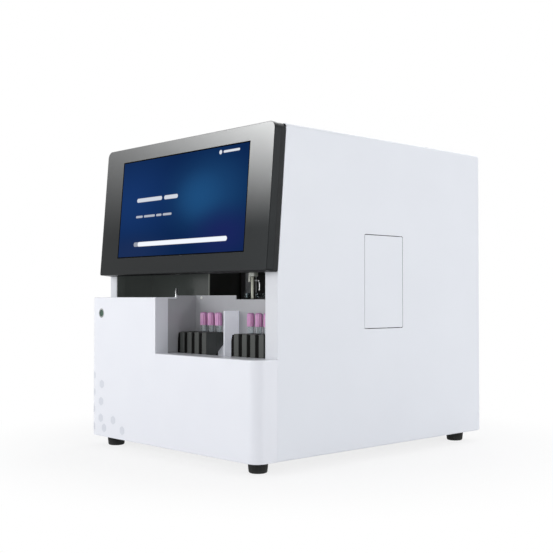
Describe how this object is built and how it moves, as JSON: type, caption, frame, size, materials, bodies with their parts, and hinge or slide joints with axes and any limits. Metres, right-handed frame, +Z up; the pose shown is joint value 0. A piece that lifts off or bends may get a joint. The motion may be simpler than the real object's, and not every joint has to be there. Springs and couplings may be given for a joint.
{
  "type": "chemiluminescence immunoassay analyzer",
  "caption": "Bench-top immunoassay analyzer in a white housing, with a tilted touch display above a stepped sample bay with racks of purple-capped tubes and a side hatch",
  "frame": {"origin": "centre of the footprint, on the plane the feet stand on", "axes": "front with the display faces -Y, +X is the side with the hatch, +Z up"},
  "size_m": [0.59, 0.734, 0.6958],
  "materials": {
    "coated_housing": "white powder coat with a faint orange-peel",
    "moulded_cover": "white moulded plastic, satin",
    "coated_frame": "white powder coat on bent sheet",
    "plain_sheet": "galvanised sheet steel",
    "foot_rubber": "black moulded rubber",
    "ring_metal": "turned metal ring",
    "button_green": "dark green push button",
    "bezel_gloss": "dark grey metallic lacquer, glossy",
    "screen_glass": "blue backlit touch glass",
    "liner_grey": "mid-grey coated sheet",
    "lane_black": "black moulded plastic",
    "guide_light": "light grey moulded plastic",
    "rack_grey": "charcoal moulded plastic",
    "tube_clear": "clear moulded tube",
    "cap_purple": "lilac soft-touch closure",
    "smoked_plastic": "smoked acrylic",
    "machined_aluminium": "anodised aluminium profile",
    "probe_steel": "stainless steel",
    "bottle_plastic": "natural moulded plastic"
  },
  "bodies": {
    "body": {"housing_shell": "coated_housing", "rear_panel": "coated_housing", "front_cover": "moulded_cover", "front_frame": "coated_frame", "base_tray": "plain_sheet", "foot_front_left": "foot_rubber", "foot_front_right": "foot_rubber", "foot_rear_left": "foot_rubber", "foot_rear_right": "foot_rubber", "button_ring": "ring_metal", "display_bezel": "bezel_gloss", "display_back": "bezel_gloss", "touch_glass": "screen_glass", "lcd_panel": "plain_sheet", "bay_liner": "liner_grey", "lane_floor": "lane_black", "rack_guide": "guide_light", "process_deck": "liner_grey", "smoked_panel": "smoked_plastic", "gantry_portal": "machined_aluminium", "wash_well": "guide_light", "incubator_base": "machined_aluminium", "light_detector": "lane_black", "bottle_bay": "plain_sheet", "reagent_bottle_1": "bottle_plastic", "reagent_bottle_2": "bottle_plastic", "hatch_pins": "probe_steel", "power_inlet": "lane_black", "switch_frame": "lane_black", "fan_frame": "lane_black", "power_supply": "plain_sheet", "sample_rack_1": "rack_grey", "sample_rack_2": "rack_grey", "sample_rack_3": "rack_grey", "sample_rack_4": "rack_grey", "sample_rack_5": "rack_grey", "sample_rack_6": "rack_grey", "sample_rack_7": "rack_grey", "sample_rack_8": "rack_grey", "sample_tube_1": "tube_clear", "tube_cap_1": "cap_purple", "sample_tube_2": "tube_clear", "tube_cap_2": "cap_purple", "sample_tube_3": "tube_clear", "tube_cap_3": "cap_purple", "sample_tube_4": "tube_clear", "tube_cap_4": "cap_purple", "sample_tube_5": "tube_clear", "tube_cap_5": "cap_purple", "sample_tube_6": "tube_clear", "tube_cap_6": "cap_purple"},
    "button": {"power_button": "button_green"},
    "hatch": {"hatch_door": "coated_housing"},
    "carriage": {"x_carriage": "machined_aluminium"},
    "arm": {"y_arm": "machined_aluminium", "z_column": "machined_aluminium"},
    "probe_head": {"probe": "probe_steel"},
    "rotor": {"incubator_rotor": "lane_black"},
    "fan": {"fan_rotor": "lane_black"},
    "rocker": {"rocker_switch": "lane_black"}
  },
  "joints": [
    {"name": "button_press", "type": "slide", "parent": "body", "child": "button", "axis": [0, 1, 0], "range_m": [0, 0.002], "stiffness_N_per_m": 800, "springref_m": -0.0005},
    {"name": "hatch_hinge", "type": "hinge", "parent": "body", "child": "hatch", "pos_m": [0.2918, 0.067, 0.381], "axis": [0, 0, 1], "range_deg": [0, 100]},
    {"name": "gantry_x", "type": "slide", "parent": "body", "child": "carriage", "axis": [1, 0, 0], "range_m": [-0.1315, 0.124]},
    {"name": "gantry_y", "type": "slide", "parent": "carriage", "child": "arm", "axis": [0, 1, 0], "range_m": [-0.0515, 0.14]},
    {"name": "probe_z", "type": "slide", "parent": "arm", "child": "probe_head", "axis": [0, 0, 1], "range_m": [-0.1, 0]},
    {"name": "incubator_spin", "type": "hinge", "parent": "body", "child": "rotor", "pos_m": [-0.04, 0.033, 0.34], "axis": [0, 0, 1], "continuous": true},
    {"name": "fan_spin", "type": "hinge", "parent": "body", "child": "fan", "pos_m": [0.13, 0.345, 0.584], "axis": [0, 1, 0], "continuous": true},
    {"name": "rocker_tilt", "type": "hinge", "parent": "body", "child": "rocker", "pos_m": [0.15, 0.355, 0.084], "axis": [-1, 0, 0], "range_deg": [0, 16]}
  ]
}
